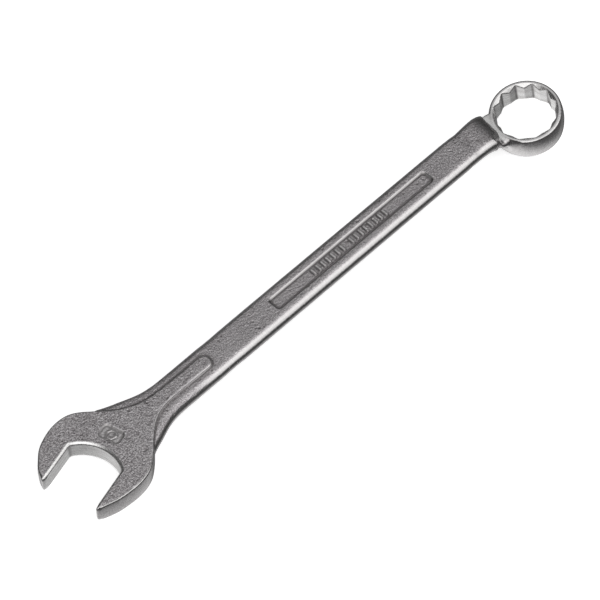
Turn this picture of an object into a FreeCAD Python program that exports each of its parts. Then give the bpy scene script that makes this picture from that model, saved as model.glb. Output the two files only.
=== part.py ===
import FreeCAD, Part
import math
import os
import Sketcher
from FreeCAD import Placement, Rotation, Vector

# Offset-ring combination wrench, 28 mm.
# Frame: origin at the centre of a seated 28 mm nut, half-way through the open
# head; +X runs along the shank towards the ring; +Z is square to the head's
# flat face, on the side the ring is NOT cranked to.

doc = FreeCAD.newDocument("combination_wrench")

# ---------------------------------------------------------------- dimensions
sheet = doc.addObject("Spreadsheet::Sheet", "dims")
ROWS = [
    ("headThk", 11.0, "open head, face to face"),
    ("jawGap", 28.2, "jaw opening, face to face"),
    ("jawAngle", 15.0, "jaw axis to shank axis, degrees"),
    ("throatReach", 17.4, "nut centre to the bottom of the throat"),
    ("throatRad", 20.0, "radius of the throat's floor"),
    ("cornerRad", 2.0, "radius in the two throat corners"),
    ("tipReach", 10.9, "nut centre to the left jaw's tip"),
    ("tipReachR", 12.8, "nut centre to the right jaw's tip"),
    ("tipRad", 2.0, "plan radius at the jaw tips"),
    ("jawCham", 1.0, "chamfer along the jaw and throat edges"),
    ("headRound", 1.0, "rounding of the head's outer edges and the tongue"),
    ("axisOff", 4.7, "shank axis beside the nut centre"),
    ("shankWid", 19.5, "shank width"),
    ("shankThk", 8.4, "shank thickness"),
    ("shankRound", 3.9, "rounding of the shank's long edges"),
    ("neckEnd", 94.0, "where the neck ends and the plain shank begins"),
    ("shankEnd", 262.0, "where the plain shank ends and the crank begins"),
    ("tongueEnd", 86.8, "tip of the raised tongue on the neck"),
    ("tongueWid", 7.6, "width of the raised tongue"),
    ("padLen", 11.0, "size pad, across the jaw axis"),
    ("padWid", 7.2, "size pad, along the jaw axis"),
    ("padRad", 2.0, "size pad corner radius"),
    ("padAt", 26.0, "size pad centre from the nut centre"),
    ("padDeep", 0.8, "size pad depth"),
    ("hexFlat", 5.0, "raised hexagon on the pad, across flats"),
    ("hexRib", 0.8, "rib width of the raised hexagon"),
    ("panelFrom", 129.0, "grip panel, near end"),
    ("panelTo", 237.0, "grip panel, far end"),
    ("panelWid", 8.2, "grip panel width"),
    ("panelRad", 2.2, "grip panel corner radius"),
    ("panelDeep", 1.1, "grip panel depth"),
    ("ribLen", 4.2, "grip rib, across the panel"),
    ("ribWid", 1.3, "grip rib, along the panel"),
    ("ribHigh", 0.8, "grip rib height"),
    ("ribPitch", 3.3, "grip rib spacing"),
    ("ribFrom", 156.5, "first rib of the first group"),
    ("ribFromB", 182.5, "first rib of the second group"),
    ("ringAt", 309.2, "ring centre along X"),
    ("ringDrop", 17.3, "ring centre below the shank's mid-plane"),
    ("ringTilt", 10.0, "ring plane to shank plane, degrees"),
    ("ringRad", 19.0, "ring outer radius at mid height"),
    ("ringRimRad", 18.2, "ring outer radius at its two rims"),
    ("ringHigh", 14.6, "ring height"),
    ("ringFlat", 28.2, "ring opening, across flats"),
    ("ringCham", 2.4, "chamfer at the ring's upper mouth, on the flats"),
    ("ringChamLow", 3.1, "chamfer at the ring's lower mouth, on the flats"),
    ("faceRad", 22.4, "radius of the facing cut round the ring"),
    ("ringRound", 1.0, "rounding of the ring's outer rims"),
]
for i, (alias, value, note) in enumerate(ROWS, 1):
    sheet.set("A%d" % i, alias)
    sheet.set("B%d" % i, str(value))
    sheet.setAlias("B%d" % i, alias)
    sheet.set("C%d" % i, note)
doc.recompute()


def D(alias):
    return float(sheet.get(alias))


# ------------------------------------------------------------------- helpers
def plane(body, role):
    return [f for f in body.Origin.OriginFeatures if f.Role == role][0]


def sketch(body, name, role, lift=0.0, turn=0.0, at=(0.0, 0.0)):
    s = body.newObject("Sketcher::SketchObject", name)
    s.AttachmentSupport = [(plane(body, role), "")]
    s.MapMode = "FlatFace"
    s.AttachmentOffset = Placement(Vector(at[0], at[1], lift),
                                   Rotation(Vector(0, 0, 1), turn))
    return s


def line(s, a, b):
    return s.addGeometry(Part.LineSegment(Vector(a[0], a[1], 0), Vector(b[0], b[1], 0)), False)


def arc(s, c, r, a0, a1):
    """Counter-clockwise arc, angles in degrees."""
    circ = Part.Circle(Vector(c[0], c[1], 0), Vector(0, 0, 1), r)
    return s.addGeometry(Part.ArcOfCircle(circ, math.radians(a0), math.radians(a1)), False)


def biarc(s, p0, a0, p1, a1):
    """Two tangent arcs (or a line) from p0 to p1 with headings a0 and a1."""
    t0 = (math.cos(math.radians(a0)), math.sin(math.radians(a0)))
    t1 = (math.cos(math.radians(a1)), math.sin(math.radians(a1)))
    v = (p1[0] - p0[0], p1[1] - p0[1])
    tt = (t0[0] + t1[0], t0[1] + t1[1])
    A = 2 * (1 - (t0[0] * t1[0] + t0[1] * t1[1]))
    B = 2 * (v[0] * tt[0] + v[1] * tt[1])
    C = -(v[0] ** 2 + v[1] ** 2)
    if abs(A) < 1e-9:
        d = -C / B
    else:
        d = (-B + math.sqrt(B * B - 4 * A * C)) / (2 * A)
    m = ((p0[0] + p1[0] + d * (t0[0] - t1[0])) / 2, (p0[1] + p1[1] + d * (t0[1] - t1[1])) / 2)
    for a, b, t in ((p0, m, t0), (m, p1, None)):
        w = (b[0] - a[0], b[1] - a[1])
        n = math.hypot(*w)
        if t is None:
            # heading at the end is t1: use the chord mirrored
            cr = w[0] * t1[1] - w[1] * t1[0]
        else:
            cr = t[0] * w[1] - t[1] * w[0]
        if abs(cr) / n < 1e-5 * n:
            line(s, a, b)
            continue
        sag = n * n / (2 * cr)                    # signed radius
        tx_, ty_ = (t if t is not None else t1)
        q = a if t is not None else b
        c = (q[0] - ty_ * sag, q[1] + tx_ * sag)
        r = abs(sag)
        b0 = math.degrees(math.atan2(a[1] - c[1], a[0] - c[0]))
        b1 = math.degrees(math.atan2(b[1] - c[1], b[0] - c[0]))
        if sag < 0:
            b0, b1 = b1, b0
        if b1 < b0:
            b1 += 360
        arc(s, c, r, b0, b1)


def outline(s, nodes):
    """Smooth chain of biarcs through (x, y, heading) nodes."""
    for a, b in zip(nodes[:-1], nodes[1:]):
        biarc(s, a[:2], a[2], b[:2], b[2])


def round_rect(s, cx, cy, lx, ly, r, ex=None, ey=None, er=None):
    """Rounded rectangle with its length, width and corner radius driven."""
    x0, x1, y0, y1 = cx - lx / 2, cx + lx / 2, cy - ly / 2, cy + ly / 2
    g = [line(s, (x0 + r, y0), (x1 - r, y0)), arc(s, (x1 - r, y0 + r), r, 270, 360),
         line(s, (x1, y0 + r), (x1, y1 - r)), arc(s, (x1 - r, y1 - r), r, 0, 90),
         line(s, (x1 - r, y1), (x0 + r, y1)), arc(s, (x0 + r, y1 - r), r, 90, 180),
         line(s, (x0, y1 - r), (x0, y0 + r)), arc(s, (x0 + r, y0 + r), r, 180, 270)]
    C = Sketcher.Constraint
    for a, pa, b, pb in ((0, 2, 1, 1), (1, 2, 2, 1), (2, 2, 3, 1), (3, 2, 4, 1),
                         (4, 2, 5, 1), (5, 2, 6, 1), (6, 2, 7, 1), (7, 2, 0, 1)):
        s.addConstraint(C("Tangent", g[a], pa, g[b], pb))
    s.addConstraint(C("Horizontal", g[0]))
    s.addConstraint(C("Vertical", g[2]))
    for a, b in ((1, 3), (3, 5), (5, 7)):
        s.addConstraint(C("Equal", g[a], g[b]))
    s.addConstraint(C("DistanceX", -1, 1, g[5], 3, cx - lx / 2 + r))
    s.addConstraint(C("DistanceY", -1, 1, g[7], 3, cy - ly / 2 + r))
    k = s.addConstraint(C("DistanceX", g[7], 3, g[1], 3, lx - 2 * r))
    if ex:
        s.setExpression("Constraints[%d]" % k, ex)
    k = s.addConstraint(C("DistanceY", g[1], 3, g[3], 3, ly - 2 * r))
    if ey:
        s.setExpression("Constraints[%d]" % k, ey)
    k = s.addConstraint(C("Radius", g[1], r))
    if er:
        s.setExpression("Constraints[%d]" % k, er)
    return g


def pad(body, name, profile, length, expr=None, mid=False, rev=False):
    p = body.newObject("PartDesign::Pad", name)
    p.Profile = profile
    p.Length = length
    if expr:
        p.setExpression("Length", expr)
    if mid:
        try:
            p.SideType = "Symmetric"
        except Exception:
            p.Midplane = True
    p.Reversed = rev
    profile.Visibility = False
    return p


def pocket(body, name, profile, length, expr=None, mid=False, rev=False, through=False):
    p = body.newObject("PartDesign::Pocket", name)
    p.Profile = profile
    if through:
        p.Type = "ThroughAll"
    else:
        p.Length = length
        if expr:
            p.setExpression("Length", expr)
    if mid:
        try:
            p.SideType = "Symmetric"
        except Exception:
            p.Midplane = True
    p.Reversed = rev
    profile.Visibility = False
    return p


def edges(shape, test):
    out = []
    for n, e in enumerate(shape.Edges, 1):
        if test(e):
            out.append("Edge%d" % n)
    return out


def dress(body, kind, name, base, names, prop, expr):
    f = body.newObject("PartDesign::" + kind, name)
    f.Base = (base, names)
    f.setExpression(prop, expr)
    return f


def expect(before, after, sign, what):
    if sign * (after - before) <= 0:
        raise RuntimeError(what + " changed nothing")


ax = D("axisOff")
T = D("headThk")
ja = math.radians(D("jawAngle"))
ca, sa = math.cos(ja), math.sin(ja)
XN = D("neckEnd")
XS = D("shankEnd")

# ------------------------------------------------------------- open-end head
neck = doc.addObject("PartDesign::Body", "neck_body")
plate = doc.addObject("PartDesign::Body", "head_body")

# neck: the shank's own section, flaring into the head
hw = D("shankWid") / 2
NECK = [(30.0, 19.3, -26.0), (35.0, 16.9, -25.0), (43.0, 13.8, -22.5), (50.0, 11.25, -16.0), (57.0, 9.98, -5.5), (64.0, hw, 0.0)]
s = sketch(neck, "neck_plan", "XY_Plane")
outline(s, [(x, ax + y, t) for x, y, t in NECK])
line(s, (64.0, ax + hw), (XN, ax + hw))
line(s, (XN, ax + hw), (XN, ax - hw))
line(s, (XN, ax - hw), (64.0, ax - hw))
outline(s, [(x, ax - y, 180 - t) for x, y, t in reversed(NECK)])
line(s, (30.0, ax - 19.3), (30.0, ax + 19.3))
p = pad(neck, "neck_pad", s, D("shankThk"), "dims.shankThk", mid=True)
doc.recompute()
h2 = D("shankThk") / 2
names = edges(p.Shape, lambda e: abs(abs(e.CenterOfMass.z) - h2) < 1e-6 and
              e.BoundBox.XLength > 20 and e.BoundBox.ZLength < 1e-3)
f = dress(neck, "Fillet", "neck_rounding", p, names, "Radius", "dims.shankRound")
doc.recompute()

# head plate and the raised tongue that runs up the neck
tw = D("tongueWid") / 2
te = D("tongueEnd")
OUT_NW = [(-15.7, 6.5, 80.0), (-12.7, 15.1, 67.0), (-6.0, 23.2, 45.0), (6.0, 29.4, 16.4), (14.8, 30.3, -4.0),
          (22.0, 27.9, -33.0), (28.2, 22.6, -45.0), (35.0, 16.1, -41.0), (42.4, 11.7, -24.0), (52.0, 9.1, -7.5),
          (62.0, ax + tw, 0.0)]
OUT_SE = [(-11.4, -12.8, -68.0), (-7.9, -17.4, -42.0), (0.0, -20.8, -18.0), (8.4, -22.2, -5.0), (16.0, -22.3, 5.0),
          (23.5, -20.6, 22.0), (30.2, -16.0, 42.0), (36.2, -10.1, 44.5), (42.6, -4.6, 36.0), (49.0, -0.9, 20.0),
          (56.0, 0.65, 5.0), (62.0, ax - tw, 0.0)]
s = sketch(plate, "head_plan", "XY_Plane")
outline(s, OUT_NW)
line(s, OUT_NW[-1][:2], (te - tw, ax + tw))
arc(s, (te - tw, ax), tw, -90, 90)
line(s, (te - tw, ax - tw), OUT_SE[-1][:2])
outline(s, [(x, y, t + 180) for x, y, t in reversed(OUT_SE)])
MOUTH = [OUT_SE[0][:2], (-2.0, -9.5), (-4.5, 4.0), OUT_NW[0][:2]]
for a, b in zip(MOUTH[:-1], MOUTH[1:]):
    line(s, a, b)
p = pad(plate, "head_plate", s, T, "dims.headThk", mid=True)
doc.recompute()
MID = [((a[0] + b[0]) / 2, (a[1] + b[1]) / 2) for a, b in zip(MOUTH[:-1], MOUTH[1:])]
names = edges(p.Shape, lambda e: abs(abs(e.CenterOfMass.z) - T / 2) < 1e-6 and
              all(math.hypot(e.CenterOfMass.x - m[0], e.CenterOfMass.y - m[1]) > 1e-3 for m in MID))
f = dress(plate, "Fillet", "head_rounding", p, names, "Radius", "dims.headRound")
doc.recompute()
vol = f.Shape.Volume

# jaw opening: two parallel faces, a round throat, relieved corners and
# rounded jaw tips
w2 = D("jawGap") / 2
R = D("throatRad")
rc = D("cornerRad")
rt = D("tipRad")
tu = -D("tipReach")
tv = -D("tipReachR")
tx = D("throatReach")
cx = tx - R                                   # centre of the throat's floor
ccx = cx + math.sqrt((R - rc) ** 2 - (w2 - rc) ** 2)
ang = math.degrees(math.atan2(w2 - rc, ccx - cx))
far = w2 + 12.0


def jaw_sketch(name, lift=0.0):
    s = sketch(plate, name, "XY_Plane", lift=lift, turn=D("jawAngle"))
    line(s, (tv - 12, far), (tu, far))
    line(s, (tu, far), (tu, w2 + rt))
    arc(s, (tu + rt, w2 + rt), rt, 180, 270)
    line(s, (tu + rt, w2), (ccx, w2))
    arc(s, (ccx, w2 - rc), rc, ang, 90)
    arc(s, (cx, 0), R, -ang, ang)
    arc(s, (ccx, -w2 + rc), rc, -90, -ang)
    line(s, (ccx, -w2), (tv + rt, -w2))
    arc(s, (tv + rt, -w2 - rt), rt, 90, 180)
    line(s, (tv, -w2 - rt), (tv, -far))
    line(s, (tv, -far), (tv - 12, -far))
    line(s, (tv - 12, -far), (tv - 12, far))
    return s


q = pocket(plate, "jaw_opening", jaw_sketch("jaw_plan"), 0, mid=True, through=True)
doc.recompute()
expect(vol, q.Shape.Volume, -1, "jaw opening")

# both mouths of the opening are chamfered at 45 degrees
for side in (1, -1):
    vol = plate.Shape.Volume
    lift = side * (T / 2 - D("jawCham"))
    s = jaw_sketch("jaw_chamfer_plan_%s" % ("front" if side > 0 else "back"), lift)
    s.setExpression(".AttachmentOffset.Base.z", "%d * (dims.headThk / 2 - dims.jawCham)" % side)
    q = pocket(plate, "jaw_chamfer_%s" % ("front" if side > 0 else "back"), s, D("jawCham"), "dims.jawCham", rev=side > 0)
    q.TaperAngle = 45
    doc.recompute()
    expect(vol, plate.Shape.Volume, -1, "jaw chamfer")
f = q
vol = f.Shape.Volume

# size pad: a shallow rounded recess with a raised hexagon outline in it
s = sketch(plate, "pad_plan", "XY_Plane", lift=T / 2, turn=D("jawAngle"))
round_rect(s, D("padAt"), 0, D("padWid"), D("padLen"), D("padRad"),
           "dims.padWid - 2 * dims.padRad", "dims.padLen - 2 * dims.padRad", "dims.padRad")
s.setExpression(".AttachmentOffset.Base.z", "dims.headThk / 2")
q = pocket(plate, "size_pad", s, D("padDeep"), "dims.padDeep")
doc.recompute()
expect(vol, q.Shape.Volume, -1, "size pad")
vol = q.Shape.Volume
s = sketch(plate, "hexagon_plan", "XY_Plane", lift=T / 2 - D("padDeep"), turn=D("jawAngle"))
for af in (D("hexFlat"), D("hexFlat") - 2 * D("hexRib")):
    rr = af / math.sqrt(3)
    pts = [(D("padAt") + rr * math.cos(math.radians(30 + 60 * k)), rr * math.sin(math.radians(30 + 60 * k))) for k in range(6)]
    for k in range(6):
        line(s, pts[k], pts[(k + 1) % 6])
p = pad(plate, "hexagon", s, 0.6)
doc.recompute()
expect(vol, p.Shape.Volume, 1, "hexagon")
plate.Tip = p
head = doc.addObject("Part::Fuse", "open_end_head")
head.Label = "open_end_head"
head.Base = plate
head.Tool = neck
doc.recompute()

# --------------------------------------------------------------------- shank
shank = doc.addObject("PartDesign::Body", "shank")
shank.Label = "shank"
s = sketch(shank, "shank_section", "YZ_Plane", lift=XN)
s.setExpression(".AttachmentOffset.Base.z", "dims.neckEnd")
round_rect(s, ax, 0, D("shankWid"), D("shankThk"), D("shankRound"),
           "dims.shankWid - 2 * dims.shankRound", "dims.shankThk - 2 * dims.shankRound", "dims.shankRound")
p = pad(shank, "shank_bar", s, XS - XN, "dims.shankEnd - dims.neckEnd")
doc.recompute()
for side in (1, -1):
    vol = shank.Shape.Volume
    s = sketch(shank, "panel_plan_%s" % ("front" if side > 0 else "back"), "XY_Plane", lift=side * D("shankThk") / 2)
    round_rect(s, (D("panelFrom") + D("panelTo")) / 2, ax, D("panelTo") - D("panelFrom"), D("panelWid"), D("panelRad"),
               "dims.panelTo - dims.panelFrom - 2 * dims.panelRad", "dims.panelWid - 2 * dims.panelRad", "dims.panelRad")
    s.setExpression(".AttachmentOffset.Base.z", "%d * dims.shankThk / 2" % side)
    q = pocket(shank, "panel_%s" % ("front" if side > 0 else "back"), s, D("panelDeep"), "dims.panelDeep", rev=side < 0)
    doc.recompute()
    expect(vol, shank.Shape.Volume, -1, "grip panel")
vol = shank.Shape.Volume
s = sketch(shank, "rib_plan", "XY_Plane", lift=D("shankThk") / 2 - D("panelDeep"))
s.setExpression(".AttachmentOffset.Base.z", "dims.shankThk / 2 - dims.panelDeep")
rw, rl = D("ribWid"), D("ribLen")
for x0, count in ((D("ribFrom"), 7), (D("ribFromB"), 8)):
    for k in range(count):
        xc = x0 + k * D("ribPitch")
        rr = rw / 2 - 1e-3
        arc(s, (xc, ax + rl / 2 - rr), rr, 0, 180)
        line(s, (xc - rr, ax + rl / 2 - rr), (xc - rr, ax - rl / 2 + rr))
        arc(s, (xc, ax - rl / 2 + rr), rr, 180, 360)
        line(s, (xc + rr, ax - rl / 2 + rr), (xc + rr, ax + rl / 2 - rr))
p = pad(shank, "ribs", s, D("ribHigh"), "dims.ribHigh")
doc.recompute()
expect(vol, shank.Shape.Volume, 1, "ribs")

# ------------------------------------------------------------------ ring end
tilt = math.radians(D("ringTilt"))
ring_c = Vector(D("ringAt"), ax, -D("ringDrop"))
ring_place = Placement(ring_c, Rotation(Vector(0, 1, 0), -D("ringTilt")))
H = D("ringHigh")

# crank: sections that leave the shank's end face and turn down into the ring.
# x, z of the section's centre, slope in degrees, width, height, rounding, lean to +Y.
# The crank leans a little to +Y, so that its -Y shoulder runs into the ring's rim.
RR = D("ringRad")
nx = ring_c.x - 10.0 * math.cos(tilt)
nz = ring_c.z - 10.0 * math.sin(tilt)
CRANK = [
    (XS, 0.0, 0.0, D("shankWid"), D("shankThk"), D("shankRound"), 0.0),
    (XS + 8.0, -0.3, -6.0, D("shankWid"), D("shankThk"), D("shankRound"), 0.0),
    (XS + 15.5, -2.0, -30.0, 21.4, 8.8, 3.9, 0.2),
    (XS + 22.0, -7.2, -47.0, 24.0, 9.2, 4.2, 0.9),
    (XS + 28.0, -13.4, -38.0, 25.2, 9.8, 4.5, 1.9),
    (nx, nz, D("ringTilt"), 26.0, 10.4, 4.5, 1.5),
]
sections = []
for k, (x, z, slope, wid, high, rnd, lean) in enumerate(CRANK):
    s = doc.addObject("Sketcher::SketchObject", "crank_section_%d" % k)
    if k == 0:
        round_rect(s, 0, 0, wid, high, rnd, "dims.shankWid - 2 * dims.shankRound",
                   "dims.shankThk - 2 * dims.shankRound", "dims.shankRound")
    else:
        round_rect(s, 0, 0, wid, high, rnd)
    # sketch x -> +Y, sketch y -> up, normal -> along the crank
    a = math.radians(slope)
    t = Vector(math.cos(a), 0, math.sin(a))
    u = Vector(-math.sin(a), 0, math.cos(a))
    m = FreeCAD.Matrix(0, u.x, t.x, x, 1, u.y, t.y, ax + lean, 0, u.z, t.z, z, 0, 0, 0, 1)
    s.Placement = Placement(m)
    s.Visibility = False
    sections.append(s)
crank = doc.addObject("Part::Loft", "crank")
crank.Sections = sections
crank.Solid = True
crank.Ruled = False
crank.MaxDegree = 5
doc.recompute()

barrel = doc.addObject("PartDesign::Body", "ring_barrel")
s = sketch(barrel, "barrel_section", "XZ_Plane")
r0, r1 = D("ringRimRad"), D("ringRad")
bulge = Part.Arc(Vector(r0, -H / 2, 0), Vector(r1, 0, 0), Vector(r0, H / 2, 0))
s.addGeometry(bulge, False)
line(s, (r0, H / 2), (0.0, H / 2))
line(s, (0.0, H / 2), (0.0, -H / 2))
line(s, (0.0, -H / 2), (r0, -H / 2))
rev = barrel.newObject("PartDesign::Revolution", "barrel")
rev.Profile = s
rev.ReferenceAxis = (s, ["V_Axis"])
rev.Angle = 360
doc.recompute()
names = edges(rev.Shape, lambda e: abs(abs(e.CenterOfMass.z) - H / 2) < 1e-6 and e.BoundBox.XLength > 1.9 * r0)
dress(barrel, "Fillet", "barrel_rounding", rev, names, "Radius", "dims.ringRound")
barrel.Placement = ring_place.multiply(Placement(Vector(0, 0, 0), Rotation(Vector(0, 0, 1), 97.5)))
barrel.setExpression(".Placement.Base.x", "dims.ringAt")
barrel.setExpression(".Placement.Base.y", "dims.axisOff")
barrel.setExpression(".Placement.Base.z", "-dims.ringDrop")
doc.recompute()


def tool_cyl(name, r, z0, z1, expr=None):
    cyl = doc.addObject("Part::Cylinder", name)
    cyl.Radius = r
    cyl.Height = z1 - z0
    if expr:
        cyl.setExpression("Radius", expr)
    cyl.Placement = ring_place.multiply(Placement(Vector(0, 0, z0), Rotation()))
    return cyl


# facing cut: levels the crank's end with the ring's upper rim
facing = tool_cyl("facing_cut", D("faceRad"), H / 2, H / 2 + 40, "dims.faceRad")
facing_lo = tool_cyl("facing_cut_back", D("faceRad"), -H / 2 - 40, -H / 2, "dims.faceRad")

faced = crank
for k, tool in enumerate((facing, facing_lo)):
    cut = doc.addObject("Part::Cut", "crank_facing_%d" % k)
    cut.Base = faced
    cut.Tool = tool
    faced = cut
# the -Y shoulder is dressed off, so that its side runs into the ring's rim
shoulder = doc.addObject("Part::Box", "shoulder_cut")
shoulder.Length, shoulder.Width, shoulder.Height = 40, 40, 30
sr = Rotation(Vector(0, 0, 1), Vector(0.482, -0.876, 0.22))
shoulder.Placement = Placement(Vector(XS + 28.9, 1.5, -12.9) - sr.multVec(Vector(20, 20, 0)), sr)
dressed = doc.addObject("Part::Cut", "crank_dressed")
dressed.Base = faced
dressed.Tool = shoulder
faced = dressed
doc.recompute()
blank = doc.addObject("Part::Fuse", "ring_blank")
blank.Base = faced
blank.Tool = barrel
doc.recompute()

# twelve-point opening: two hexagons, half a turn of a point apart
hexes = []
for k in range(2):
    hx = doc.addObject("Part::Prism", "hexagon_%d" % k)
    hx.Polygon = 6
    hx.Circumradius = D("ringFlat") / math.sqrt(3)
    hx.setExpression("Circumradius", "dims.ringFlat / sqrt(3)")
    hx.Height = H + 30
    hx.Placement = ring_place.multiply(Placement(Vector(0, 0, -H / 2 - 15), Rotation(Vector(0, 0, 1), 30 * k)))
    hexes.append(hx)
RC = D("ringFlat") / math.sqrt(3)
cones = []
for sgn in (1, -1):
    cn = doc.addObject("Part::Cone", "mouth_%s" % ("top" if sgn > 0 else "bottom"))
    ch = D("ringCham" if sgn > 0 else "ringChamLow")
    # a 45 degree cone that bites ringCham deep into the twelve flats
    top = D("ringFlat") / 2 + ch
    cn.Radius1 = top - 5.0
    cn.Radius2 = top + 5.0
    cn.Height = 10.0
    base = Placement(Vector(0, 0, H / 2 - 5.0), Rotation())
    if sgn < 0:
        base = Placement(Vector(0, 0, -H / 2 + 5.0), Rotation(Vector(1, 0, 0), 180))
    cn.Placement = ring_place.multiply(base)
    cones.append(cn)
ring = blank
for k, tool in enumerate(hexes + cones):
    cut = doc.addObject("Part::Cut", "ring_cut_%d" % k)
    cut.Base = ring
    cut.Tool = tool
    doc.recompute()
    expect(ring.Shape.Volume, cut.Shape.Volume, -1, tool.Name)
    ring = cut
ring.Label = "ring_head"

# -------------------------------------------------------------------- output
for o in doc.Objects:
    if any(w in o.State for w in ("Invalid", "Error")):
        raise RuntimeError("%s: %s" % (o.Name, o.State))
os.makedirs("parts", exist_ok=True)
for o in (head, shank, ring):
    sh = o.Shape
    if sh.isNull() or not sh.isValid() or len(sh.Solids) != 1:
        raise RuntimeError("%s: bad shape" % o.Label)
    sh.exportStep("parts/%s.step" % o.Label)
    b = sh.BoundBox
    print(o.Label, round(sh.Volume, 1), [round(v, 3) for v in (b.XMin, b.YMin, b.ZMin, b.XMax, b.YMax, b.ZMax)])
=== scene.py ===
import bpy, math
import numpy as np
from mathutils import Matrix, Vector


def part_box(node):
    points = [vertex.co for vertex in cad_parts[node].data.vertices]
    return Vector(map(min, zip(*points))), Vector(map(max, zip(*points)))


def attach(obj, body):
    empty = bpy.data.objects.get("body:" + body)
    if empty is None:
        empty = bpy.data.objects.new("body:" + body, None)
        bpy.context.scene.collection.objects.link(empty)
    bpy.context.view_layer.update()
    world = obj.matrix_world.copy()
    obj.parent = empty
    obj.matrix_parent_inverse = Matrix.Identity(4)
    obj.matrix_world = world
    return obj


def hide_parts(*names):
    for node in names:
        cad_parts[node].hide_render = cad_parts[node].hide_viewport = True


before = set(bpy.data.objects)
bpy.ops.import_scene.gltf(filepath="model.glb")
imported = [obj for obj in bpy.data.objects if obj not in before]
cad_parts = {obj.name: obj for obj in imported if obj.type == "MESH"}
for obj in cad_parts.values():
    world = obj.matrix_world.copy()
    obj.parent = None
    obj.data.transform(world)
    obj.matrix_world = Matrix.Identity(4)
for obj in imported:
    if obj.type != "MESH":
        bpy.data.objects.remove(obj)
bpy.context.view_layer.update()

# ---------------------------------------------------------------- sizes, in millimetres, row frame
VOXEL = 0.26
JAW_HALF = 14.1
JAW_ANGLE = math.radians(15.0)
THROAT_RAD, THROAT_U = 20.0, -2.6
RING_C = np.array([309.2, 4.7, -17.3])
RING_TILT = math.radians(10.0)
RING_AXIS = np.array([-math.sin(RING_TILT), 0.0, math.cos(RING_TILT)])
RING_HALF = 7.3
FACE_RAD = 22.4


def smooth(a, b, x):
    t = np.clip((x - a) / (b - a), 0.0, 1.0)
    return t * t * (3 - 2 * t)


# ---------------------------------------------------------------- one continuous forging skin
def node_arrays(name):
    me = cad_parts[name].data
    me.calc_loop_triangles()
    co = np.empty(len(me.vertices) * 3, np.float32)
    me.vertices.foreach_get("co", co)
    tri = np.empty(len(me.loop_triangles) * 3, np.int32)
    me.loop_triangles.foreach_get("vertices", tri)
    return co.reshape(-1, 3).astype(float) * 1000.0, tri.reshape(-1, 3)


cut_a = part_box("shank")[0].x * 1000.0
cut_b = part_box("shank")[1].x * 1000.0
LAP = 0.8
parts_co, parts_tri, base = [], [], 0
for name in ("open_end_head", "shank", "ring_head"):
    co, tri = node_arrays(name)
    at_a, at_b = np.abs(co[:, 0] - cut_a) < 1e-3, np.abs(co[:, 0] - cut_b) < 1e-3
    if name == "open_end_head":
        co[at_a, 0] += LAP
    elif name == "shank":
        co[at_a, 0] -= LAP
        co[at_b, 0] += LAP
    else:
        co[at_b, 0] -= LAP
    parts_co.append(co)
    parts_tri.append(tri + base)
    base += len(co)
raw = bpy.data.meshes.new("wrench_raw")
raw.from_pydata(np.vstack(parts_co).tolist(), [], np.vstack(parts_tri).tolist())
raw_ob = bpy.data.objects.new("wrench_raw", raw)
bpy.context.scene.collection.objects.link(raw_ob)
mod = raw_ob.modifiers.new("skin", "REMESH")
mod.mode = "VOXEL"
mod.voxel_size = VOXEL
mod.adaptivity = 0.0
dg = bpy.context.evaluated_depsgraph_get()
skin_me = bpy.data.meshes.new_from_object(raw_ob.evaluated_get(dg))
bpy.data.objects.remove(raw_ob)
bpy.data.meshes.remove(raw)
skin_me.name = "wrench_skin"

n = len(skin_me.vertices)
co = np.empty(n * 3, np.float32)
skin_me.vertices.foreach_get("co", co)
co = co.reshape(-1, 3).astype(float)
ed = np.empty(len(skin_me.edges) * 2, np.int32)
skin_me.edges.foreach_get("vertices", ed)
ea, eb = ed[0::2], ed[1::2]
deg = np.maximum(np.bincount(ed, minlength=n), 1)


def around(v):
    """Mean of each vertex's neighbours."""
    v = v.reshape(n, -1)
    out = np.empty_like(v)
    for k in range(v.shape[1]):
        out[:, k] = (
            np.bincount(ea, v[eb, k], n) + np.bincount(eb, v[ea, k], n)
        ) / deg
    return out


def spread(v, times):
    v = v.reshape(n, 1)
    for _ in range(times):
        v = 0.5 * v + 0.5 * around(v)
    return v[:, 0]


def jaw_distance(p):
    """How far a point lies outside the jaw opening, seen from above."""
    u = p[:, 0] * math.cos(JAW_ANGLE) + p[:, 1] * math.sin(JAW_ANGLE)
    v = -p[:, 0] * math.sin(JAW_ANGLE) + p[:, 1] * math.cos(JAW_ANGLE)
    arc = np.hypot(u - THROAT_U, v) - THROAT_RAD
    return np.maximum(np.abs(v) - JAW_HALF, np.where(u > 0, arc, -99.0))


def ring_coords(p):
    q = p - RING_C
    h = q @ RING_AXIS
    r = q - np.outer(h, RING_AXIS)
    rad = np.linalg.norm(r, axis=1)
    return h, rad, r / np.maximum(rad, 1e-9)[:, None]


def relax(weight, times):
    """Laplacian smoothing where weight is above 0."""
    live = weight > 0.001
    use = live[ea] | live[eb]
    a_, b_ = ea[use], eb[use]
    count = np.maximum(np.bincount(a_, minlength=n) + np.bincount(b_, minlength=n), 1)
    w = np.where(live, 0.5 * weight, 0.0)
    for _ in range(times):
        for k in range(3):
            v = co[:, k]
            mean = (np.bincount(a_, v[b_], n) + np.bincount(b_, v[a_], n)) / count
            co[:, k] = v + w * (mean - v)


jd = jaw_distance(co)
rh, rr, rdir = ring_coords(co)
x, y, z = co[:, 0], co[:, 1], co[:, 2]
crisp = np.maximum(smooth(2.2, 1.2, jd) * (x < 22), smooth(18.2, 17.0, rr) * (np.abs(rh) < 9))
foot = smooth(18, 30, x) * smooth(100, 92, x) * (1 - crisp)
crank = smooth(262, 272, x) * (1 - crisp)
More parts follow.
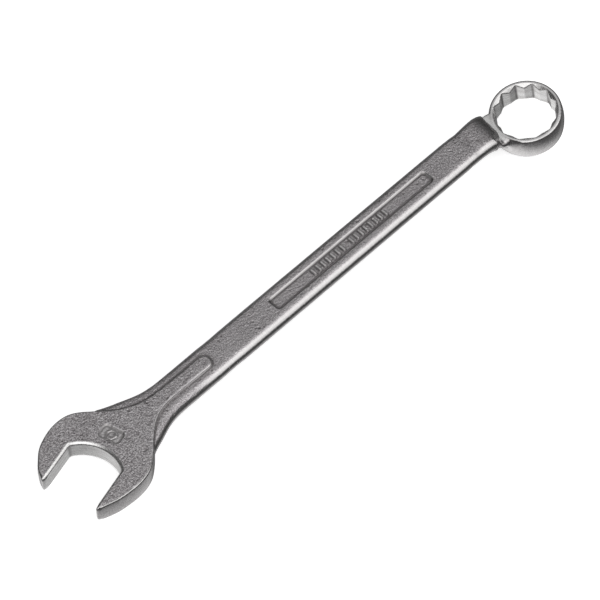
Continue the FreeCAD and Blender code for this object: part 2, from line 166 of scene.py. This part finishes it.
# the panel's wall, as a distance from the rounded rectangle x 129..237, y 0.6..8.8
qx, qy = np.abs(x - 183.0) - 51.8, np.abs(y - 4.7) - 1.9
wall = np.hypot(np.maximum(qx, 0), np.maximum(qy, 0)) + np.minimum(np.maximum(qx, qy), 0) - 2.2
ribs = (np.abs(y - 4.7) < 2.6) * (x > 155) * (x < 209) * (z > 0)
rim = smooth(1.8, 1.0, np.abs(wall)) * (1 - ribs) * (np.abs(z) > 2.4)
nose = np.zeros(n)
for u, v in ((-11.0, JAW_HALF + 0.6), (-12.9, -JAW_HALF - 0.6)):
    tip = (
        u * math.cos(JAW_ANGLE) - v * math.sin(JAW_ANGLE),
        u * math.sin(JAW_ANGLE) + v * math.cos(JAW_ANGLE),
    )
    nose = np.maximum(nose, smooth(4.6, 2.2, np.hypot(x - tip[0], y - tip[1])))
seam = np.maximum(smooth(7, 2, np.abs(x - cut_a)), smooth(7, 2, np.abs(x - cut_b)))
# the crank's shoulder, which the real forging runs out into the ring's rim
lx = (co - RING_C) @ np.array([math.cos(RING_TILT), 0, math.sin(RING_TILT)])
ly = y - RING_C[1]
melt = smooth(8.5, 4.5, np.hypot(lx + 21.5, ly + 6.0)) * smooth(17.6, 18.4, rr) * smooth(-7.5, -5.0, rh)
# drafted panel walls: they slope down to the panel's floor over 0.95 mm
slope_at = (wall > -1.25) * (wall < 0.6) * (np.abs(z) > 2.7) * (x > cut_a) * (x < cut_b)
depth = 1.1 * np.clip((0.15 - wall) / 1.1, 0, 1)
co[:, 2] = np.where(slope_at > 0, np.sign(z) * (4.2 - depth), z)
relax(1.0 - 0.9 * ribs, 4)
# softer where the forging is softer: the tongue's foot, the crank, the jaws' blunt noses
for amount, times in ((foot, 6), (crank, 10), (rim, 4), (nose, 60), (seam, 110), (melt, 420)):
    relax(amount, times)

# die draft: the head's outer wall leans in above and below its middle
skin_me.vertices.foreach_set("co", co.astype(np.float32).ravel())
skin_me.update()


def normals():
    v = np.empty(n * 3, np.float32)
    skin_me.vertex_normals.foreach_get("vector", v)
    return v.reshape(-1, 3).astype(float)


nor = normals()
side = smooth(1.3, 2.0, jaw_distance(co)) * smooth(34, 22, co[:, 0])
co[:, :2] -= (nor[:, :2] * (side * 0.20 * (co[:, 2] / 5.5) ** 2)[:, None])
skin_me.vertices.foreach_set("co", co.astype(np.float32).ravel())
skin_me.update()
nor = normals()
# the die and the belt leave the skin very slightly uneven, always inwards
rng = np.random.default_rng(28)
wave = np.zeros(n)
for length, amount in ((26.0, 1.0), (13.0, 0.7), (7.0, 0.45), (4.2, 0.3)):
    for _ in range(5):
        d = rng.normal(size=3)
        d /= np.linalg.norm(d)
        wave += amount / 5 * np.sin(co @ d * 2 * math.pi / length + rng.uniform(0, 6.28))
wave /= np.abs(wave).max()
co -= nor * (0.045 * (1 + wave) * (1 - crisp))[:, None]
skin_me.vertices.foreach_set("co", co.astype(np.float32).ravel())
skin_me.update()
nor = normals()

# ---------------------------------------------------------------- where each finish sits
jd = jaw_distance(co)
rh, rr, rdir = ring_coords(co)
nz = np.abs(nor[:, 2])
lap = ((around(co) - co) * nor).sum(1)
# hollow marks the concave creases; the material darkens them there as painted shade
hollow = np.clip(spread(np.clip(lap / 0.012, 0, 1), 5) * 1.5, 0, 1)
arris = np.clip(spread(np.clip(-lap / 0.012, 0, 1), 3) * 1.4, 0, 1)
jaw_ground = smooth(1.25, 0.95, jd) * (co[:, 0] < 24)
inward = -(nor * rdir).sum(1)
bore = smooth(17.6, 17.0, rr) * smooth(9.5, 8.5, np.abs(rh)) * smooth(-0.2, 0.2, inward + np.abs(nor @ RING_AXIS))
face = smooth(0.94, 0.99, np.abs(nor @ RING_AXIS)) * smooth(0.7, 0.3, np.abs(np.abs(rh) - RING_HALF)) * smooth(23.0, 22.4, rr)
ground = np.clip(np.maximum(np.maximum(jaw_ground, bore), face), 0, 1)
neck = smooth(24, 34, co[:, 0]) * smooth(84, 62, co[:, 0])
scale_skin = np.maximum(smooth(0.86, 0.985, nz), neck * smooth(0.45, 0.75, nz))
scale_skin = scale_skin * (1 - ground) * smooth(286, 274, co[:, 0])
# worn brighter: the raised ribs, and the size pad with its hexagon
pu = co[:, 0] * math.cos(JAW_ANGLE) + co[:, 1] * math.sin(JAW_ANGLE) - 26.0
pv = -co[:, 0] * math.sin(JAW_ANGLE) + co[:, 1] * math.cos(JAW_ANGLE)
in_pad = smooth(4.1, 3.5, np.abs(pu)) * smooth(6.0, 5.4, np.abs(pv)) * (co[:, 2] > 4.3)
on_rib = (np.abs(co[:, 1] - 4.7) < 2.5) * (co[:, 0] > 155) * (co[:, 0] < 209) * smooth(3.35, 3.65, co[:, 2])
on_hex = in_pad * (np.hypot(pu, pv) < 3.6) * smooth(4.85, 5.1, co[:, 2])
worn = np.clip(0.75 * in_pad + 0.25 * on_hex + on_rib, 0, 1)

for label, values in (("ground", ground), ("skin", scale_skin), ("hollow", hollow), ("arris", arris), ("worn", worn)):
    at = skin_me.attributes.new(label, "FLOAT", "POINT")
    at.data.foreach_set("value", values.astype(np.float32))

co /= 1000.0
skin_me.vertices.foreach_set("co", co.astype(np.float32).ravel())
skin_me.polygons.foreach_set("use_smooth", np.ones(len(skin_me.polygons), bool))
skin_me.update()
skin = bpy.data.objects.new("wrench_skin", skin_me)
bpy.context.scene.collection.objects.link(skin)
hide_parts("open_end_head", "shank", "ring_head")
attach(skin, "root")


# ---------------------------------------------------------------- steel
class Tree:
    def __init__(self, tree):
        self.t = tree
        tree.nodes.clear()

    def add(self, kind, **props):
        node = self.t.nodes.new(kind)
        for k, v in props.items():
            setattr(node, k, v)
        return node

    def link(self, a, b):
        self.t.links.new(a, b)

    def put(self, socket, value):
        if hasattr(value, "is_output"):
            self.link(value, socket)
        else:
            socket.default_value = value

    def math(self, op, a, b=0.0, c=0.0, clamp=False):
        m = self.add("ShaderNodeMath", operation=op, use_clamp=clamp)
        self.put(m.inputs[0], a)
        self.put(m.inputs[1], b)
        self.put(m.inputs[2], c)
        return m.outputs[0]

    def mix(self, fac, a, b):
        m = self.add("ShaderNodeMix", data_type="RGBA")
        self.put(m.inputs[0], fac)
        self.put(m.inputs[6], a)
        self.put(m.inputs[7], b)
        return m.outputs[2]

    def lerp(self, fac, a, b):
        m = self.add("ShaderNodeMix", data_type="FLOAT")
        self.put(m.inputs[0], fac)
        self.put(m.inputs[2], a)
        self.put(m.inputs[3], b)
        return m.outputs[0]

    def stretch(self, vec, sx, sy, sz):
        m = self.add("ShaderNodeMapping")
        self.link(vec, m.inputs["Vector"])
        m.inputs["Scale"].default_value = (sx, sy, sz)
        return m.outputs[0]

    def noise(self, vec, scale, detail=2.0, rough=0.5):
        m = self.add("ShaderNodeTexNoise")
        self.link(vec, m.inputs["Vector"])
        m.inputs["Scale"].default_value = scale
        m.inputs["Detail"].default_value = detail
        m.inputs["Roughness"].default_value = rough
        return m.outputs["Fac"]

    def ramp(self, fac, a, b):
        m = self.add("ShaderNodeMapRange", clamp=True)
        self.put(m.inputs["Value"], fac)
        m.inputs["From Min"].default_value = a
        m.inputs["From Max"].default_value = b
        return m.outputs["Result"]

    def attribute(self, name):
        return self.add("ShaderNodeAttribute", attribute_name=name).outputs["Fac"]


mat = bpy.data.materials.new("forged_steel_skin")
mat.use_nodes = True
T = Tree(mat.node_tree)
where = T.add("ShaderNodeTexCoord").outputs["Object"]
a_ground, a_skin = T.attribute("ground"), T.attribute("skin")
a_hollow, a_arris, a_worn = T.attribute("hollow"), T.attribute("arris"), T.attribute("worn")

grain = T.noise(where, 1950.0, 2.0, 0.65)
orange = T.noise(where, 900.0, 1.0, 0.5)
blotch = T.noise(where, 90.0, 3.0, 0.6)
pits_v = T.add("ShaderNodeTexVoronoi", feature="F1")
T.link(where, pits_v.inputs["Vector"])
pits_v.inputs["Scale"].default_value = 330.0
pits_v.inputs["Randomness"].default_value = 1.0
pits = T.math("MULTIPLY", T.ramp(pits_v.outputs["Distance"], 0.30, 0.12), T.ramp(T.noise(where, 160.0, 1.0), 0.50, 0.62))
belt = T.noise(T.stretch(where, 1900.0, 260.0, 260.0), 1.0, 2.0, 0.55)
broach = T.noise(T.stretch(where, 1500.0, 1500.0, 90.0), 1.0, 2.0, 0.5)
turned = T.noise(T.stretch(where, 55.0, 55.0, 700.0), 1.0, 2.0, 0.55)
smear = T.noise(where, 210.0, 2.0, 0.55)

a_belt = T.math("SUBTRACT", T.math("SUBTRACT", 1.0, a_skin, clamp=True), a_ground, clamp=True)
height = T.math("MULTIPLY", T.math("ADD", T.math("MULTIPLY", grain, 0.55), T.math("MULTIPLY", orange, 0.75)), T.math("MULTIPLY_ADD", a_skin, 0.88, 0.12))
height = T.math("SUBTRACT", height, T.math("MULTIPLY", T.math("MULTIPLY", pits, a_skin), 0.55))
height = T.math("ADD", height, T.math("MULTIPLY", T.math("MULTIPLY", belt, a_belt), 0.12))
height = T.math("ADD", height, T.math("MULTIPLY", T.math("MULTIPLY", broach, a_ground), 0.14))
bump = T.add("ShaderNodeBump")
bump.inputs["Strength"].default_value = 1.0
bump.inputs["Distance"].default_value = 0.00048
T.link(height, bump.inputs["Height"])

skin_col = T.mix(T.ramp(blotch, 0.35, 0.65), (0.545, 0.522, 0.532, 1), (0.635, 0.612, 0.622, 1))
skin_col = T.mix(T.math("MULTIPLY", T.ramp(grain, 0.52, 0.36), 0.95), skin_col, (0.225, 0.200, 0.210, 1))
skin_col = T.mix(T.math("MULTIPLY", T.ramp(grain, 0.53, 0.66), 0.95), skin_col, (0.960, 0.930, 0.945, 1))
belt_col = T.mix(T.ramp(belt, 0.3, 0.7), (0.530, 0.515, 0.518, 1), (0.640, 0.628, 0.628, 1))
ground_col = T.mix(broach, (0.740, 0.736, 0.734, 1), (0.900, 0.896, 0.890, 1))
ground_col = T.mix(T.math("MULTIPLY", T.ramp(turned, 0.56, 0.38), 0.5), ground_col, (0.50, 0.485, 0.485, 1))
ground_col = T.mix(T.math("MULTIPLY", T.ramp(smear, 0.50, 0.34), 0.30), ground_col, (0.52, 0.50, 0.50, 1))
col = T.mix(a_skin, belt_col, skin_col)
col = T.mix(T.math("MULTIPLY", a_worn, 0.85), col, (0.90, 0.88, 0.885, 1))
col = T.mix(a_ground, col, ground_col)
col = T.mix(T.math("MULTIPLY", a_arris, 0.35), col, (0.74, 0.73, 0.73, 1))
# painted shade: concave creases are darkened towards near-black, mottled by the blotch noise and a little less on the
# worn ribs and pad; the skin's pits are darkened as well
painted_shade_and_pits = T.math("MULTIPLY", a_hollow, T.math("MULTIPLY_ADD", blotch, 0.5, 0.45), clamp=True)
painted_shade_and_pits = T.math("MULTIPLY", painted_shade_and_pits, T.math("MULTIPLY_ADD", a_worn, -0.15, 1.0))
painted_shade_and_pits = T.math("MAXIMUM", painted_shade_and_pits, T.math("MULTIPLY", T.math("MULTIPLY", pits, a_skin), 0.55))
col = T.mix(painted_shade_and_pits, col, (0.125, 0.115, 0.115, 1))

rough = T.lerp(a_skin, T.lerp(belt, 0.20, 0.30), T.lerp(grain, 0.34, 0.50))
rough = T.lerp(a_ground, rough, T.lerp(broach, 0.20, 0.34))
rough = T.math("ADD", rough, T.math("MULTIPLY", painted_shade_and_pits, 0.12))

bsdf = T.add("ShaderNodeBsdfPrincipled")
T.link(col, bsdf.inputs["Base Color"])
T.link(rough, bsdf.inputs["Roughness"])
bsdf.inputs["Metallic"].default_value = 1.0
T.link(bump.outputs["Normal"], bsdf.inputs["Normal"])
out = T.add("ShaderNodeOutputMaterial")
T.link(bsdf.outputs[0], out.inputs["Surface"])
skin_me.materials.clear()
skin_me.materials.append(mat)

# ---------------------------------------------------------------- floor, through the points the wrench rests on
pts = co
low_head = pts[pts[:, 0] < 0.02]
a = low_head[np.lexsort((low_head[:, 0], np.round(low_head[:, 2], 5)))[0]]
best, slope = None, -1e9
for p in pts[pts[:, 0] > 0.27][::3]:
    s = (a[2] - p[2]) / (p[0] - a[0])
    if s > slope:
        best, slope = p, s
tilt = math.atan(slope)
fl_me = bpy.data.meshes.new("floor")
S = 14.0
fl_me.from_pydata([(-S, -S, 0), (S, -S, 0), (S, S, 0), (-S, S, 0)], [], [(0, 1, 2, 3)])
floor = bpy.data.objects.new("floor", fl_me)
bpy.context.scene.collection.objects.link(floor)
floor.matrix_world = Matrix.Translation(Vector(a) + Vector((0, 0, -0.00005))) @ Matrix.Rotation(tilt, 4, "Y")
fm = bpy.data.materials.new("pale_floor")
fm.use_nodes = True
F = Tree(fm.node_tree)
fw = F.add("ShaderNodeTexCoord").outputs["Object"]
fcol = F.mix(F.noise(fw, 3.0, 2.0), (0.86, 0.86, 0.86, 1), (0.89, 0.89, 0.89, 1))
fb = F.add("ShaderNodeBsdfDiffuse")
F.link(fcol, fb.inputs["Color"])
fe = F.add("ShaderNodeEmission")
F.link(fcol, fe.inputs["Color"])
fe.inputs["Strength"].default_value = 0.74
fs = F.add("ShaderNodeAddShader")
F.link(fb.outputs[0], fs.inputs[0])
F.link(fe.outputs[0], fs.inputs[1])
fo = F.add("ShaderNodeOutputMaterial")
F.link(fs.outputs[0], fo.inputs["Surface"])
fl_me.materials.append(fm)
floor.visible_glossy = False

# ---------------------------------------------------------------- studio: a soft surround and two soft boxes
world = bpy.data.worlds.new("studio")
bpy.context.scene.world = world
world.use_nodes = True
W = Tree(world.node_tree)
d = W.add("ShaderNodeTexCoord").outputs["Generated"]
unit = W.add("ShaderNodeVectorMath", operation="NORMALIZE")
W.link(d, unit.inputs[0])
sep = W.add("ShaderNodeSeparateXYZ")
W.link(unit.outputs[0], sep.inputs[0])
ramp = W.add("ShaderNodeValToRGB")
W.link(W.math("MULTIPLY_ADD", sep.outputs["Z"], 0.5, 0.5), ramp.inputs[0])
cr = ramp.color_ramp
cr.interpolation = "LINEAR"
# how bright the surround is, from straight below to straight above
stops = [(-1.0, 0.82), (-0.90, 0.68), (-0.82, 0.42), (-0.72, 0.13), (-0.50, 0.07), (0.0, 0.05), (0.20, 0.08), (0.55, 0.17), (0.70, 0.31), (0.81, 0.54), (0.92, 0.62), (1.0, 0.64)]
cr.elements[0].position, cr.elements[0].color = 0.0, (stops[0][1],) * 3 + (1,)
cr.elements[1].position, cr.elements[1].color = 1.0, (stops[-1][1],) * 3 + (1,)
for z, v in stops[1:-1]:
    el = cr.elements.new(z / 2 + 0.5)
    el.color = (v, v, v, 1)


def glow(towards, outer, inner, strength, low=-0.05, high=0.30):
    """A soft light in the surround, fading from its middle to its edge and down to the horizon."""
    dot = W.add("ShaderNodeVectorMath", operation="DOT_PRODUCT")
    W.link(unit.outputs[0], dot.inputs[0])
    dot.inputs[1].default_value = Vector(towards).normalized()
    m = W.add("ShaderNodeMapRange", clamp=True, interpolation_type="SMOOTHSTEP")
    W.link(dot.outputs["Value"], m.inputs["Value"])
    m.inputs["From Min"].default_value = math.cos(math.radians(outer))
    m.inputs["From Max"].default_value = math.cos(math.radians(inner))
    h = W.add("ShaderNodeMapRange", clamp=True, interpolation_type="SMOOTHSTEP")
    W.link(sep.outputs["Z"], h.inputs["Value"])
    h.inputs["From Min"].default_value = low
    h.inputs["From Max"].default_value = high
    return W.math("MULTIPLY", W.math("MULTIPLY", m.outputs["Result"], h.outputs["Result"]), strength)


bg = W.add("ShaderNodeBackground")
W.link(ramp.outputs[0], bg.inputs["Color"])
shade = glow((0.50, 0.42, -0.76), 36, 10, 0.80, -2.0, -1.5)
keep = W.math("SUBTRACT", 1.0, shade)
W.link(keep, bg.inputs["Strength"])
bg2 = W.add("ShaderNodeBackground")
bg2.inputs["Color"].default_value = (1.0, 0.995, 0.99, 1)
lamps = W.math("ADD", glow((0.41, -0.77, 0.49), 42, 4, 1.15, -0.14, 0.14), glow((-0.68, -0.48, 0.52), 47, 10, 1.25, 0.0, 0.3))
lamps = W.math("ADD", lamps, W.math("MULTIPLY", keep, glow((0.10, 0.45, -0.85), 64, 25, 0.34, -2.0, -1.5)))
W.link(lamps, bg2.inputs["Strength"])
both = W.add("ShaderNodeAddShader")
W.link(bg.outputs[0], both.inputs[0])
W.link(bg2.outputs[0], both.inputs[1])
plain = W.add("ShaderNodeBackground")
plain.inputs["Color"].default_value = (0.93, 0.93, 0.93, 1)
path = W.add("ShaderNodeLightPath")
ms = W.add("ShaderNodeMixShader")
W.link(path.outputs["Is Camera Ray"], ms.inputs[0])
W.link(both.outputs[0], ms.inputs[1])
W.link(plain.outputs[0], ms.inputs[2])
wo = W.add("ShaderNodeOutputWorld")
W.link(ms.outputs[0], wo.inputs["Surface"])


def soft_box(name, towards, distance, size, power):
    li = bpy.data.lights.new(name, "AREA")
    li.shape = "RECTANGLE"
    li.size, li.size_y = size
    li.energy = power
    ob = bpy.data.objects.new(name, li)
    bpy.context.scene.collection.objects.link(ob)
    dirn = Vector(towards).normalized()
    ob.location = Vector((0.155, 0.0, 0.0)) + dirn * distance
    ob.rotation_mode = "QUATERNION"
    ob.rotation_quaternion = dirn.to_track_quat("Z", "Y")
    ob.visible_camera = False
    return ob


soft_box("key", (0.30, -0.40, 0.86), 1.7, (1.6, 1.6), 1.6)

# ---------------------------------------------------------------- camera
phi, el, roll = 0.775643579, 0.942984753, -0.028977935
c, s = math.cos(phi), math.sin(phi)
Rz = np.array([[c, -s, 0], [s, c, 0], [0, 0, 1]])
right = np.array([1.0, 0, 0])
up = np.array([0, math.sin(el), math.cos(el)])
back = np.array([0, -math.cos(el), math.sin(el)])
right, up = (
    math.cos(roll) * right + math.sin(roll) * up,
    -math.sin(roll) * right + math.cos(roll) * up,
)
M = np.vstack([right, up, back]) @ Rz
pos = M.T @ np.array([11.0544273, 2.97353795, 1545.958]) + np.array([131.8, 5.2, 0.0])
cam_data = bpy.data.cameras.new("camera")
cam = bpy.data.objects.new("camera", cam_data)
bpy.context.scene.collection.objects.link(cam)
mw = Matrix.Identity(4)
for i in range(3):
    for j in range(3):
        mw[i][j] = M[j][i]
    mw[i][3] = pos[i] / 1000.0
cam.matrix_world = mw
cam_data.sensor_width = 36.0
cam_data.lens = 3263.267 * 36.0 / 600.0
cam_data.clip_start, cam_data.clip_end = 0.05, 60.0
bpy.context.scene.camera = cam

bpy.context.scene.view_settings.view_transform = "Standard"
bpy.context.scene.view_settings.look = "None"

bpy.context.view_layer.update()
